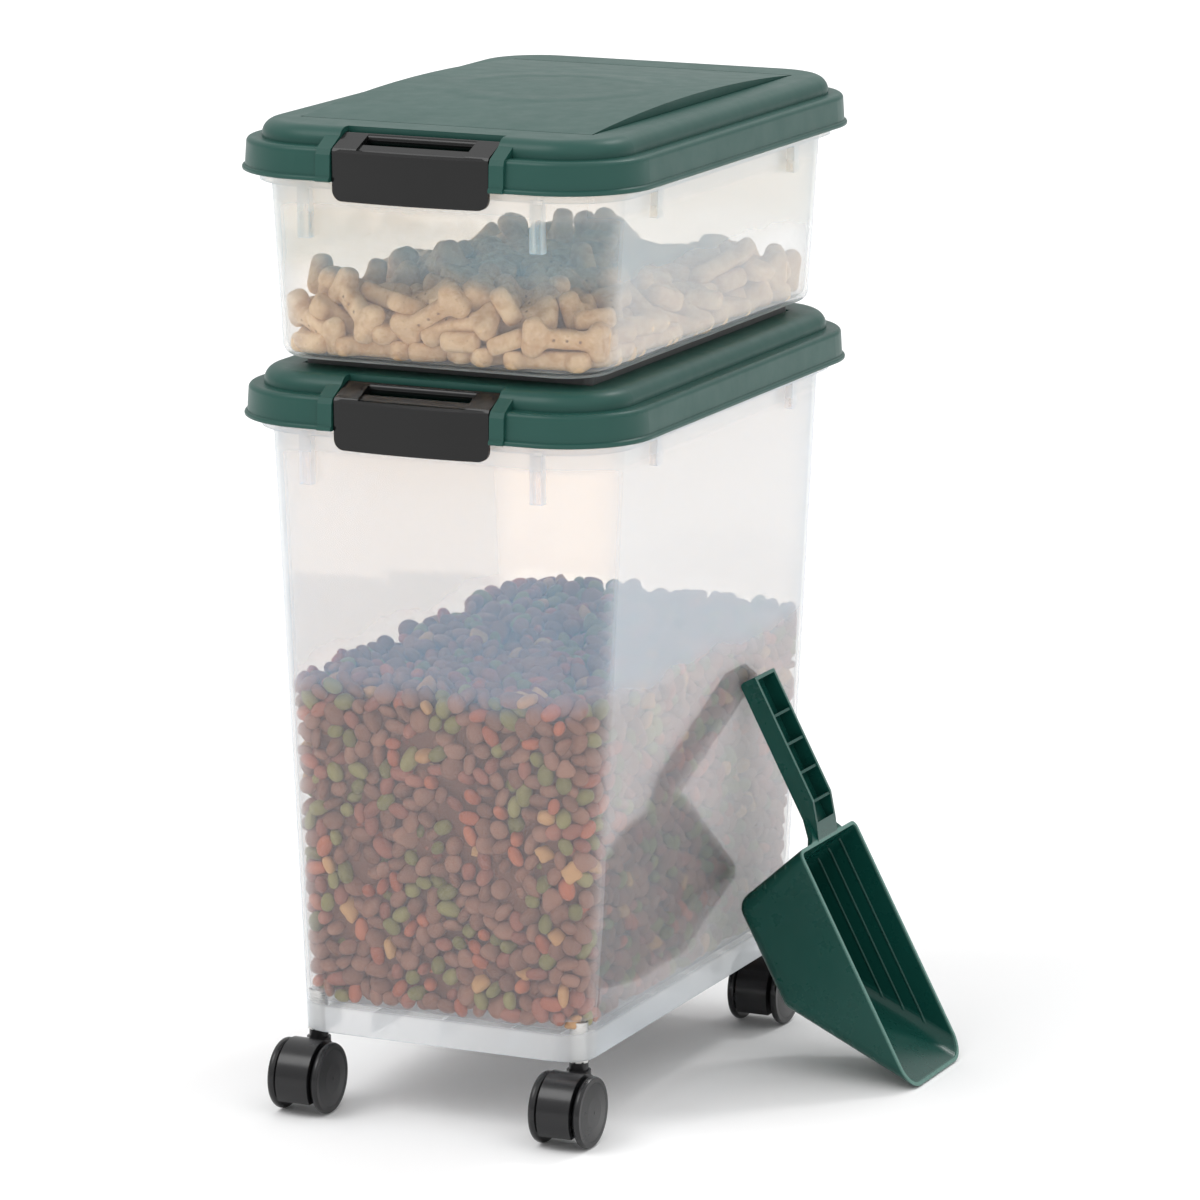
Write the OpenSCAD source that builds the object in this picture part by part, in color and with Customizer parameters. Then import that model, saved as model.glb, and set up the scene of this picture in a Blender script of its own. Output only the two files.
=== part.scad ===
// Rolling pet food bin with a treat box stacked on its lid and a food scoop leaning on its side.
// X runs across the short side, Y from the latches (front) to the hinges (back), Z up from the floor.

/* [Lids] */
// Width of a lid over its bottom lip
lid_w = 276; // [266:1:286]
// Length of a lid over its bottom lip
lid_l = 418; // [408:1:428]
// Corner radius of a lid's lip
lid_r = 58; // [56:0.5:60]
// Height of a lid from its lip to its flat frame
lid_h = 32; // [31.5:0.1:32.5]
// Rise of the treat box lid's arched panel
arch_h = 6.4; // [3:0.1:9]
// Depth of the stacking recess in the bin lid
recess_d = 1.5; // [0.8:0.1:2]

/* [Bin] */
// Height of the tub's lower edge above the floor
tub_z = 52; // [51:0.5:54]
// Height of the bin lid's lip above the floor
bin_lip_z = 452; // [440:1:460]
// Height of the tub's inside floor above its lower edge
floor_up = 19; // [17:0.5:21]
// How far the tub's lower edge lies inside the lid's lip
tub_inset = 37; // [35:0.5:39]
// Wall of the tub and of the treat box
wall = 2.4; // [1.8:0.1:2.8]
// Depth of kibble in the tub
kibble_h = 214; // [60:1:330]

/* [Treat box] */
// Height of the treat box lid's lip above the bin lid's lip
box_pitch = 156; // [150:1:165]
// Thickness of the base slab under the treat box
slab_t = 7.7; // [7:0.1:9]
// Depth of biscuits in the treat box
biscuit_h = 66; // [30:1:85]

/* [Latches] */
// Width of a latch
latch_w = 106.4; // [100:0.2:107]
// Drop of a latch's plate below the lid's lip
latch_drop = 11.5; // [10.5:0.1:14]
// Bulge of the plate's middle
latch_bow = 4; // [2:0.1:5]

/* [Casters] */
// Wheel radius
wheel_r = 23; // [22:0.1:23]
// Distance from the swivel axis forward to the axle
trail = 16.5; // [15:0.1:17.5]
// Swivel axis out from the bin's middle, across
caster_x = 92; // [91:0.5:93]
// Swivel axis out from the bin's middle, along
caster_y = 158.5; // [157:0.5:160]

/* [Scoop] */
// Length of the scoop's open bowl
bowl_l = 172; // [165:1:176]
// Width of the bowl
bowl_w = 95; // [88:1:100]
// Depth of the bowl
bowl_d = 62; // [56:0.5:64]
// Whole length of the scoop
scoop_l = 286; // [280:1:290]
// Lean of the scoop away from upright
scoop_lean = 27.8; // [27:0.1:28]

/* [Hidden] */
$fn = 96;

green = "#3a6258";
clear = "#dfe0de";
charcoal = "#2c2c2e";
steel = "#b9bdc0";

gap = 0.3;
cx = lid_w / 2 - lid_r;
cy = lid_l / 2 - lid_r;
rim_r = lid_r - 18;
band_r = lid_r - 11;
foot_r = lid_r - tub_inset;
box_lip_z = bin_lip_z + box_pitch;
box_z = bin_lip_z + lid_h - recess_d + gap + slab_t;
box_foot_r = lid_r - 24.5;
box_round = 8;
rim_top = 12;
seat_h = 16.3;
slab_x = 99.5;
slab_y = 157;
ear_x = 70;
ear_w = 5;
hinge_y = lid_l / 2 + 6;
hinge_h = 4;
hinge_r = 4.5;
pin_r = 2;
run = 0.05;
latch_y = -lid_l / 2 + 21.6;
latch_h = 25.2;
boss_x = latch_w / 2 + 10.8;
rib_x = 79.5;
rib_y = 109;
socket_top = tub_z + 24.5;
stem_r = 3.95;
sleeve_r = 6;
hood_r = wheel_r + 1;
hood_w = 22.4;
// Inner and outer faces of the wheels, measured from the middle of the axle
wheel_in = 12.9;
wheel_out = 18.6;
// Lower edge of the hood in front of the wheels
hood_low = 9.5;
scoop_x = 247;
scoop_y = 69;
scoop_z = 1.2;
// Radii of the bowl at its tip, beside the handle and along its heel, and how far the heel draws in
tip_r = 17;
mouth_r = 6;
heel_r = 11;
heel_in = 1.7;
// The handle: width, how far it stands behind and in front of the mouth's plane, and its ribs
grip_w = 32;
grip_back = 3.7;
grip_top = 8.6;
rib_t = 1.8;
scoop_wall = 2.4;
shift_x = -(scoop_x - lid_w / 2) / 2;
shift_y = -(hinge_y + hinge_r - lid_l / 2 - 3.2) / 2;

// Moves the whole set so that its box stands centred on the origin.
module placed() {
    translate([shift_x, shift_y, 0]) children();
}

// Rounded-rectangle solid from a half profile: x is the radius about the corner axes, y the height.
module tub(z0, z1) {
    for (q = [[1, 1, 0], [-1, 1, 90], [-1, -1, 180], [1, -1, 270]])
        translate([q[0] * cx, q[1] * cy, 0])
            rotate(q[2])
                rotate_extrude(angle = 90) children();
    for (s = [0, 1]) {
        mirror([0, s, 0])
            translate([-cx, cy, 0])
                rotate([90, 0, 90])
                    linear_extrude(2 * cx) children();
        mirror([s, 0, 0])
            translate([cx, cy, 0])
                rotate([90, 0, 0])
                    linear_extrude(2 * cy) children();
    }
    translate([-cx, -cy, z0]) cube([2 * cx, 2 * cy, z1 - z0]);
}

// Straight-sided or tapered solid between two heights.
module tapered(r0, z0, r1, z1) {
    tub(z0, z1) polygon([[0, z0], [r0, z0], [r1, z1], [0, z1]]);
}

// Hollow ring of one wall height.
module ring(r_out, r_in, z0, z1) {
    difference() {
        tapered(r_out, z0, r_out, z1);
        tapered(r_in, z0 - 1, r_in, z1 + 1);
    }
}

// Bar along X with the given outline in Y and Z.
module bar_x(x0, x1, pts) {
    translate([x0, 0, 0])
        rotate([90, 0, 90])
            linear_extrude(x1 - x0) polygon(pts);
}

module rod_x(x0, x1, y, z, r) {
    translate([x0, y, z])
        rotate([0, 90, 0]) cylinder(h = x1 - x0, r = r);
}

function wall_r(z) = foot_r + (rim_r - foot_r) * (z - tub_z) / (bin_lip_z - tub_z);

// Outline of one lid, cut from its lip (height 0) to its frame.
module lid_shell() {
    difference() {
        union() {
            tub(0, 3.4)
                polygon([
                    [0, 0], [lid_r - 0.9, 0], [lid_r - 0.2, 0.4], [lid_r, 1.1], [lid_r, 2],
                    [lid_r - 0.4, 2.7], [lid_r - 1.5, 3.4], [0, 3.4]]);
            tub(1, 20.6) {
                union() {
                    polygon([
                        [0, 1], [lid_r - 1.7, 1], [lid_r - 2.7, 17.1], [lid_r - 10, 17.1], [0, 17.1]]);
                    translate([0, 17]) square([lid_r - 6.2, 3.6]);
                    translate([lid_r - 6.2, 17.1]) circle(r = 3.5);
                }
            }
            tub(12, lid_h) {
                union() {
                    polygon([[0, 12], [lid_r - 12.2, 12], [lid_r - 12.6, lid_h - 10], [0, lid_h - 10]]);
                    translate([0, lid_h - 11]) square([lid_r - 22.6, 11]);
                    translate([lid_r - 22.6, lid_h - 10]) circle(r = 10);
                }
            }
        }
        tub(-1, 18.2)
            polygon([
                [0, -1], [lid_r - 4.2, -1], [lid_r - 5.1, 15], [lid_r - 8.5, 18.2], [0, 18.2]]);
        tub(12, lid_h - 3.6)
            polygon([
                [0, 12], [lid_r - 15, 12], [lid_r - 15.4, lid_h - 10],
                [lid_r - 22, lid_h - 3.6], [0, lid_h - 3.6]]);
    }
}

// The front boss that carries the latch, before its pocket is cut.
module latch_boss() {
    f = -lid_l / 2;
    bar_x(-boss_x, boss_x, [
        [f - 0.6, 0.8], [f - 0.2, 17], [f + 1.5, 20.5], [f + 21, 30.9], [f + 26, lid_h], [f + 28, lid_h],
        [f + 28, seat_h], [f + 15.8, seat_h], [f + 15.8, 13.5], [f + 6.2, 13.5], [f + 6.2, 0.8]]);
    bar_x(-boss_x, boss_x, [
        [f - 1.2, 0], [f - 2, 0.7], [f - 2, 2.2], [f - 0.4, 3.4], [f + 6.2, 3.4], [f + 6.2, 0]]);
}

// Moulded lid in its own heights. The panel is arched, or recessed for stacking.
module lid(arched) {
    f = -lid_l / 2;
    px = latch_w / 2 + 1;
    difference() {
        union() {
            lid_shell();
            ring(lid_r - 12, lid_r - 24, seat_h, seat_h + 2);
            ring(lid_r - 15, lid_r - 16.3, 14, seat_h + 0.1);
            ring(lid_r - 22.4, lid_r - 24, 14, seat_h + 0.1);
            latch_boss();
            for (s = [-1, 1]) {
                bar_x(s * ear_x - ear_w / 2, s * ear_x + ear_w / 2, [
                    [lid_l / 2 - 3.4, 1.6], [lid_l / 2 - 3.4, 9.4], [hinge_y - 2, 8.2],
                    [hinge_y, hinge_h], [hinge_y - 2, 0.2]]);
                rod_x(s * ear_x - ear_w / 2, s * ear_x + ear_w / 2, hinge_y, hinge_h, hinge_r);
            }
            if (arched) {
                intersection() {
                    translate([-slab_x, -slab_y, lid_h - 3]) cube([2 * slab_x, 2 * slab_y, arch_h + 3]);
                    arch(arch_h);
                }
            }
        }
        bar_x(-px, px, [
            [f - 8, -2], [f + 4, -2], [f + 4, 15], [f + 16.5, 20.9],
            [f + 26, 20.9], [f + 26, lid_h + 1], [f - 8, lid_h + 1]]);
        rod_x(-px - 5, px + 5, latch_y, latch_h, 1.5);
        for (s = [-1, 1])
            rod_x(s * ear_x - ear_w, s * ear_x + ear_w, hinge_y, hinge_h, pin_r + run);
        if (arched) {
            difference() {
                translate([-slab_x - 1, -slab_y - 1, lid_h - 0.9])
                    cube([2 * slab_x + 2, 2 * slab_y + 2, 1]);
                translate([-slab_x, -slab_y, lid_h - 1]) cube([2 * slab_x, 2 * slab_y, 1.2]);
            }
        } else {
            translate([-slab_x - 0.8, -slab_y - 0.8, lid_h - recess_d])
                cube([2 * slab_x + 1.6, 2 * slab_y + 1.6, recess_d + 1]);
        }
    }
}

// Drum lying along X whose top rises h above the frame at mid length and meets it at the panel's ends.
module arch(h) {
    big = (slab_y * slab_y + h * h) / (2 * h);
    rod_x(-slab_x, slab_x, 0, lid_h + h - big, big, $fn = 2000);
}

module gasket() {
    ring(lid_r - 16.5, lid_r - 22.2, rim_top + gap, seat_h);
}

module hinge_pins() {
    for (s = [-1, 1])
        rod_x(s * ear_x - 8, s * ear_x + 8, hinge_y, hinge_h, pin_r);
}

module latch_pin() {
    rod_x(-latch_w / 2 - 5.5, latch_w / 2 + 5.5, latch_y, latch_h, 1.5);
}

// Latch in the lid's own heights: bowed plate, two arms and a barrel on the pin.
module latch() {
    f = -lid_l / 2;
    hw = latch_w / 2;
    bow_r = (hw * hw + latch_bow * latch_bow) / (2 * latch_bow);
    bow_y = f + 1 - latch_bow + bow_r;
    difference() {
        union() {
            intersection() {
                union() {
                    translate([0, bow_y, -latch_drop]) cylinder(h = latch_drop + 18.9, r = bow_r, $fn = 360);
                    translate([0, bow_y, 18.9]) cylinder(h = 1.6, r1 = bow_r, r2 = bow_r - 1.6, $fn = 360);
                }
                translate([0, f + 3.6, 0])
                    rotate([90, 0, 0])
                        linear_extrude(12)
                            union() {
                                translate([-hw, 7 - latch_drop]) square([2 * hw, 13.5 + latch_drop]);
                                translate([7 - hw, -latch_drop]) square([2 * hw - 14, 9]);
                                for (s = [-1, 1])
                                    translate([s * (hw - 7), 7 - latch_drop]) circle(r = 7);
                            }
            }
            for (s = [0, 1])
                mirror([s, 0, 0])
                    bar_x(37, hw, [
                        [f + 1.2, 19.4], [f + 2.4, 21.2], [f + 20.4, 28.6], [f + 21.6, latch_h],
                        [f + 17.5, 22.4], [f + 3.6, 16.4], [f + 3.6, 10], [f + 1.2, 10]]);
            bar_x(-37.5, 37.5, [
                [f + 1.2, 17], [f + 1.2, 19.4], [f + 2.2, 19.9], [f + 9.8, 23], [f + 10.4, 20.4], [f + 3.6, 17.2]]);
            rod_x(-hw, hw, latch_y, latch_h, 3.6);
            bar_x(-20, 20, [
                [f + 3, -9.8], [f + 3, -3], [f + 4.4, -5.4], [f + 6, -7], [f + 10.6, -7], [f + 10.6, -9]]);
        }
        intersection() {
            translate([0, bow_y, 3.2 - latch_drop])
                cylinder(h = latch_drop + 11, r = bow_r - 2.6, $fn = 360);
            translate([3 - hw, f - 3, 3.2 - latch_drop]) cube([2 * hw - 6, 6.6, 11 + latch_drop]);
            difference() {
                translate([-hw, f - 4, -latch_drop]) cube([2 * hw, 8, 40]);
                translate([-21, f - 5, -latch_drop]) cube([42, 9, latch_drop + 1]);
            }
        }
        rod_x(-hw - 1, hw + 1, latch_y, latch_h, 1.5 + run);
    }
}

// Outward band that hangs round the rim of a container, in the lid's own heights.
module rim_band() {
    difference() {
        tapered(band_r, -6, band_r, 5.5);
        tapered(band_r - 2.2, -7, band_r - 2.2, 3.3);
    }
}

// Hinge ears on the back of a container, in the lid's own heights.
module hinge_ears() {
    y0 = cy + band_r - 1;
    for (s = [-1, 1])
        for (t = [-1, 1])
            translate([s * ear_x + t * (ear_w / 2 + gap + 2.5), 0, 0])
                difference() {
                    union() {
                        bar_x(-2.5, 2.5, [
                            [y0, -5.8], [y0, -1.2], [lid_l / 2 + 1.2, -1.2], [hinge_y - 3, 3.4],
                            [hinge_y + 2, 0.4], [hinge_y - 1, -5.8]]);
                        rod_x(-2.5, 2.5, hinge_y, hinge_h, hinge_r);
                    }
                    rod_x(-3, 3, hinge_y, hinge_h, pin_r);
                }
}

// One open-ended rib on the front or back wall, standing out to reach r1.
module wall_rib(w, r0, r1, z0, z1) {
    difference() {
        translate([-w / 2, r0, z0]) cube([w, r1 - r0, z1 - z0]);
        translate([1.5 - w / 2, r0, z0 - 1]) cube([w - 3, r1 - r0 - 1.5, z1 - z0 - 2]);
    }
}

// The ribs under a rim band, in the lid's own heights.
module wall_ribs() {
    for (s = [0, 1]) {
        mirror([0, s, 0])
            for (x = [-rib_x, rib_x])
                translate([x, 0, 0]) wall_rib(8.3, cy + rim_r - 2.2, cy + band_r - 2, -38, -5);
        mirror([s, 0, 0])
            for (y = [-rib_y, rib_y])
                translate([0, y, 0])
                    rotate(-90) wall_rib(8.3, cx + rim_r - 1.6, cx + band_r - 2.4, -24, -5);
    }
}

// Top of a container above its lip height.
module rim_collar(z) {
    translate([0, 0, z]) {
        rim_band();
        wall_ribs();
        hinge_ears();
    }
}

module bin_outer() {
    tub(tub_z, bin_lip_z + rim_top)
        polygon([
            [0, tub_z], [foot_r - 0.6, tub_z], [foot_r, tub_z + 0.6], [rim_r, bin_lip_z],
            [rim_r, bin_lip_z + rim_top], [0, bin_lip_z + rim_top]]);
}

module bin_cavity(off) {
    z0 = tub_z + floor_up + off;
    r0 = wall_r(z0) - wall - off;
    tub(z0, bin_lip_z + rim_top + 1)
        polygon([
            [0, z0], [r0 - 5, z0], [r0 - 1.5, z0 + 1.5], [wall_r(z0 + 5) - wall - off, z0 + 5],
            [rim_r - wall - off, bin_lip_z], [rim_r - wall - off, bin_lip_z + rim_top + 1],
            [0, bin_lip_z + rim_top + 1]]);
}

// Solid corner blocks that hold the caster sockets.
module corner_blocks(grow) {
    for (x = [-1, 1])
        for (y = [-1, 1])
            translate([x * (caster_x + 5), y * (caster_y + 7), tub_z + (socket_top + 1.5 - tub_z) / 2])
                cube([31 + 2 * grow, 37 + 2 * grow, socket_top + 1.5 - tub_z + 2 * grow], center = true);
}

module bin_body() {
    color(clear)
        difference() {
            union() {
                difference() {
                    bin_outer();
                    bin_cavity(0);
                    tapered(foot_r - wall, tub_z - 1, wall_r(tub_z + floor_up) - wall,
                        tub_z + floor_up - 2.6);
                }
                intersection() {
                    bin_outer();
                    union() {
                        corner_blocks(0);
                        for (x = [-48, 0, 48])
                            translate([x - 0.8, -200, tub_z + 3]) cube([1.6, 400, floor_up - 4.6]);
                        for (y = [-110, -55, 0, 55, 110])
                            translate([-150, y - 0.8, tub_z + 3]) cube([300, 1.6, floor_up - 4.6]);
                    }
                }
                difference() {
                    rim_collar(bin_lip_z);
                    bin_cavity(0);
                }
            }
            for (x = [-1, 1])
                for (y = [-1, 1])
                    translate([x * caster_x, y * caster_y, tub_z - 1])
                        cylinder(h = socket_top - tub_z + 1, r = sleeve_r);
        }
}

module kibble() {
    top = tub_z + floor_up + kibble_h;
    color("#8a5a44")
        difference() {
            intersection() {
                bin_cavity(gap);
                translate([-150, -220, tub_z]) cube([300, 440, top - tub_z]);
            }
            corner_blocks(gap);
        }
}

module box_side(off) {
    z0 = box_z + off * 1.05;
    r = box_foot_r - off;
    tub(z0, box_lip_z + rim_top + (off > 0 ? 1 : 0))
        union() {
            translate([0, z0]) square([r - box_round, box_round]);
            intersection() {
                translate([r - box_round, z0 + box_round]) circle(r = box_round);
                translate([0, z0 - 1]) square([r, box_round + 1]);
            }
            polygon([
                [0, z0 + box_round], [r, z0 + box_round], [rim_r - off, box_lip_z],
                [rim_r - off, box_lip_z + rim_top + (off > 0 ? 1 : 0)],
                [0, box_lip_z + rim_top + (off > 0 ? 1 : 0)]]);
        }
}

module treat_box_body() {
    color(clear)
        union() {
            difference() {
                box_side(0);
                box_side(wall);
            }
            difference() {
                rim_collar(box_lip_z);
                box_side(wall);
            }
        }
}

module treat_box_base() {
    z0 = box_z - slab_t;
    r = 6;
    color(charcoal)
        difference() {
            translate([0, 0, z0])
                linear_extrude(slab_t)
                    union() {
                        square([2 * slab_x, 2 * (slab_y - r)], center = true);
                        square([2 * (slab_x - r), 2 * slab_y], center = true);
                        for (x = [-1, 1])
                            for (y = [-1, 1])
                                translate([x * (slab_x - r), y * (slab_y - r)]) circle(r = r);
                    }
            translate([-slab_x + 14, -slab_y + 14, z0 - 1])
                cube([2 * slab_x - 28, 2 * slab_y - 28, 4.5]);
        }
}

module biscuits() {
    color("#d8b88c")
        intersection() {
            box_side(wall + gap);
            translate([-150, -220, box_z]) cube([300, 440, wall + biscuit_h]);
        }
}

// Bowl outline, shrunk by off: local x points out of the open side, z from the tip to the handle.
module bowl(off, open) {
    hull() {
        for (s = [-1, 1]) {
            translate([-1, s * (bowl_w / 2 - tip_r), tip_r])
                rotate([0, 90, 0]) cylinder(h = 1 + open, r = tip_r - off, $fn = 48);
            translate([-1, s * (bowl_w / 2 - mouth_r), bowl_l - mouth_r])
                rotate([0, 90, 0]) cylinder(h = 1 + open, r = mouth_r - off, $fn = 32);
            translate([heel_r - bowl_d, s * (bowl_w / 2 - heel_in - heel_r), bowl_l - 23.5])
                sphere(r = heel_r - off, $fn = 32);
            translate([heel_r - bowl_d, s * (bowl_w / 2 - heel_in - heel_r), bowl_l / 2])
                sphere(r = heel_r - off, $fn = 32);
        }
    }
}

// Handle outline in the local x and z, shrunk by off on the closed sides.
module handle_side(off, top) {
    polygon([
        [off - grip_back, bowl_l - 1 + 2 * off], [off - grip_back, scoop_l - 2.6 - off],
        [off - grip_back + 0.8, scoop_l - 0.8 - off], [off - grip_back + 3.5, scoop_l - off],
        [top, scoop_l - off],
        [top, bowl_l + 25 + off * 0.6], [top * 0.45, bowl_l + 9 + off], [0.2, bowl_l - 1 + 2 * off]]);
}

// Flare that joins the handle's back to the bowl's mouth.
module scoop_shoulder() {
    half = grip_w / 2;
    translate([-grip_back, 0, 0])
        rotate([90, 0, 90])
            linear_extrude(grip_back)
                polygon([
                    [-half - 13, bowl_l - 3], [half + 13, bowl_l - 3], [half + 5, bowl_l + 4],
                    [half, bowl_l + 16], [-half, bowl_l + 16], [-half - 5, bowl_l + 4]]);
}

// Hollow of the handle, with the cross ribs left standing.
module grip_cells() {
    intersection() {
        translate([0, grip_w / 2 - scoop_wall, 0])
            rotate([90, 0, 0])
                linear_extrude(grip_w - 2 * scoop_wall) handle_side(scoop_wall, grip_top + 2);
        difference() {
            translate([-10, -grip_w, bowl_l]) cube([30, 2 * grip_w, scoop_l - bowl_l]);
            for (k = [0:3])
                translate([-11, -grip_w, scoop_l - 28.5 - 20.4 * k - rib_t / 2])
                    cube([grip_top + 10.4, 2 * grip_w, rib_t]);
        }
    }
}

module scoop() {
    color(green)
        translate([scoop_x, scoop_y, scoop_z])
            rotate([0, -scoop_lean, 0])
                difference() {
                    union() {
                        bowl(0, 0);
                        translate([0, grip_w / 2, 0])
                            rotate([90, 0, 0])
                                linear_extrude(grip_w) handle_side(0, grip_top);
                        scoop_shoulder();
                    }
                    bowl(scoop_wall, 1);
                    grip_cells();
                }
}

// Calls its children at one caster's swivel axis.
module at_caster(x, y) {
    translate([x * caster_x, y * caster_y, 0]) children();
}

module socket() {
    color(steel)
        difference() {
            union() {
                translate([0, 0, tub_z - 0.1]) cylinder(h = socket_top - tub_z + 0.1, r = sleeve_r);
                translate([0, 0, tub_z - 1.5]) cylinder(h = 1.5, r = sleeve_r + 0.9);
            }
            translate([0, 0, tub_z - 2]) cylinder(h = socket_top - tub_z + 4, r = stem_r + run);
            for (a = [0:45:135])
                rotate(a)
                    translate([-10, -0.8, tub_z - 2]) cube([20, 1.6, 1.3]);
        }
}

module stem() {
    color(steel)
        translate([0, 0, wheel_r + 18]) cylinder(h = socket_top - wheel_r - 19, r = stem_r);
}

module hood() {
    color(charcoal)
        difference() {
            union() {
                difference() {
                    rod_x(-hood_w / 2, hood_w / 2, -trail, wheel_r, hood_r);
                    translate([-hood_w, -trail - hood_r - 1, wheel_r - hood_r - 1])
                        cube([2 * hood_w, hood_r + 1, hood_low - wheel_r + hood_r + 1]);
                    translate([-hood_w, -trail - 1, wheel_r - hood_r - 1])
                        cube([2 * hood_w, hood_r + 3, hood_r - 3]);
                }
                translate([0, 0, wheel_r + 8]) cylinder(h = tub_z - wheel_r - 9.9, r = 6.2);
                translate([0, 0, wheel_r + 8]) cylinder(h = 14, r = 7.8);
            }
            difference() {
                rod_x(2.6 - hood_w / 2, hood_w / 2 - 2.6, -trail, wheel_r, hood_r - 2.4);
                translate([0, 0, 0]) cylinder(h = 80, r = 7.8);
            }
            translate([0, 0, wheel_r + 18]) cylinder(h = 40, r = stem_r);
            rod_x(-hood_w, hood_w, -trail, wheel_r, 2.5);
        }
}

module axle() {
    color(steel) rod_x(-16.8, 16.8, -trail, wheel_r, 2.5);
}

// Wheel with its axle line on Z and its outer face towards +Z, before it is laid on its side.
module wheel() {
    boss_r = 5.6;
    disc_r = wheel_r - 3;
    color(charcoal)
        difference() {
            rotate_extrude()
                union() {
                    polygon([
                        [0, wheel_in - 1.3], [boss_r, wheel_in - 1.3], [boss_r, wheel_in], [disc_r, wheel_in],
                        [disc_r, wheel_out - 1], [disc_r - 0.6, wheel_out - 1.3],
                        [disc_r - 1.2, wheel_out - 0.9], [disc_r / 2, wheel_out - 0.2], [0, wheel_out]]);
                    intersection() {
                        translate([disc_r - 0.2, (wheel_in + wheel_out) / 2 - 0.3]) circle(r = 3.2);
                        translate([disc_r - 1, wheel_in]) square([4.2, wheel_out - wheel_in - 0.9]);
                    }
                }
            translate([0, 0, wheel_in - 2]) cylinder(h = 17 - wheel_in + 2, r = 2.5 + run);
        }
}

module wheel_at(side) {
    translate([0, -trail, wheel_r])
        rotate([0, 90 * side, 0]) wheel();
}

placed() bin_body();
placed() translate([0, 0, bin_lip_z]) color(green) lid(false);  // bin_lid
placed() translate([0, 0, bin_lip_z]) color(charcoal) gasket();  // bin_lid_gasket
placed() translate([0, 0, bin_lip_z]) color(steel) hinge_pins();  // bin_hinge_pins
placed() translate([0, 0, bin_lip_z]) color(charcoal) latch();  // bin_latch
placed() translate([0, 0, bin_lip_z]) color(steel) latch_pin();  // bin_latch_pin
placed() kibble();
placed() treat_box_body();
placed() treat_box_base();
placed() translate([0, 0, box_lip_z]) color(green) lid(true);  // treat_box_lid
placed() translate([0, 0, box_lip_z]) color(charcoal) gasket();  // treat_box_lid_gasket
placed() translate([0, 0, box_lip_z]) color(steel) hinge_pins();  // treat_box_hinge_pins
placed() translate([0, 0, box_lip_z]) color(charcoal) latch();  // treat_box_latch
placed() translate([0, 0, box_lip_z]) color(steel) latch_pin();  // treat_box_latch_pin
placed() biscuits();
placed() scoop();
placed() at_caster(-1, -1) socket();  // socket_front_left
placed() at_caster(-1, -1) stem();  // stem_front_left
placed() at_caster(-1, -1) hood();  // hood_front_left
placed() at_caster(-1, -1) axle();  // axle_front_left
placed() at_caster(-1, -1) wheel_at(-1);  // wheel_left_front_left
placed() at_caster(-1, -1) wheel_at(1);  // wheel_right_front_left
placed() at_caster(1, -1) socket();  // socket_front_right
placed() at_caster(1, -1) stem();  // stem_front_right
placed() at_caster(1, -1) hood();  // hood_front_right
placed() at_caster(1, -1) axle();  // axle_front_right
placed() at_caster(1, -1) wheel_at(-1);  // wheel_left_front_right
placed() at_caster(1, -1) wheel_at(1);  // wheel_right_front_right
placed() at_caster(-1, 1) socket();  // socket_rear_left
placed() at_caster(-1, 1) stem();  // stem_rear_left
placed() at_caster(-1, 1) hood();  // hood_rear_left
placed() at_caster(-1, 1) axle();  // axle_rear_left
placed() at_caster(-1, 1) wheel_at(-1);  // wheel_left_rear_left
placed() at_caster(-1, 1) wheel_at(1);  // wheel_right_rear_left
placed() at_caster(1, 1) socket();  // socket_rear_right
placed() at_caster(1, 1) stem();  // stem_rear_right
placed() at_caster(1, 1) hood();  // hood_rear_right
placed() at_caster(1, 1) axle();  // axle_rear_right
placed() at_caster(1, 1) wheel_at(-1);  // wheel_left_rear_right
placed() at_caster(1, 1) wheel_at(1);  // wheel_right_rear_right
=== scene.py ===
"""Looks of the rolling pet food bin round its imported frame: plastics, kibble, biscuits, floor and camera."""

import itertools
import math

import bpy
import numpy as np
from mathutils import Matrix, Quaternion, Vector


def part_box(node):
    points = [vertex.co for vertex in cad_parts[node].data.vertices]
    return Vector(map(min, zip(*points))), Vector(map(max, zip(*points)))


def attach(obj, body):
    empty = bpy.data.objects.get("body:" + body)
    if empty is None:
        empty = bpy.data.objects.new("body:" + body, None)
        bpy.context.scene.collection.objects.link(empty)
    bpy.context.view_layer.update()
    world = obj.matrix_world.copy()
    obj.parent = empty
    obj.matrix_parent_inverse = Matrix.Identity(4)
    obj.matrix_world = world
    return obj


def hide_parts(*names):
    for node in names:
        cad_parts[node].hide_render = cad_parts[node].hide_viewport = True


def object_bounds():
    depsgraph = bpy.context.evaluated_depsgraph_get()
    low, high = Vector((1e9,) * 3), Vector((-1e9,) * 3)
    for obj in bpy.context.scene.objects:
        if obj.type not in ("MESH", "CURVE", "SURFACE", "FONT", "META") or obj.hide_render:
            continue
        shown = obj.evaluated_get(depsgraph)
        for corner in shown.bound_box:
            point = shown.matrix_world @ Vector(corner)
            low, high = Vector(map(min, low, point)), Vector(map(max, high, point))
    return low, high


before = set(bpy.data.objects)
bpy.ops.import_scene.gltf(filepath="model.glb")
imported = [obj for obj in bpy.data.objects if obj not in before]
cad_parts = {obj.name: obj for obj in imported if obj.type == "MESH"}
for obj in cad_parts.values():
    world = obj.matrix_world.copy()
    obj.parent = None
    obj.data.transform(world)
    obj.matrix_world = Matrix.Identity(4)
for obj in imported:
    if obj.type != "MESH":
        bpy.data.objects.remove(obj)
cad_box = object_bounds()

MM = 0.001

# How far the scoop leans back from upright against the bin
SCOOP_LEAN = math.radians(27.8)
BOWL_LENGTH = 172 * MM

# ---------------------------------------------------------------- node materials


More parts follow.
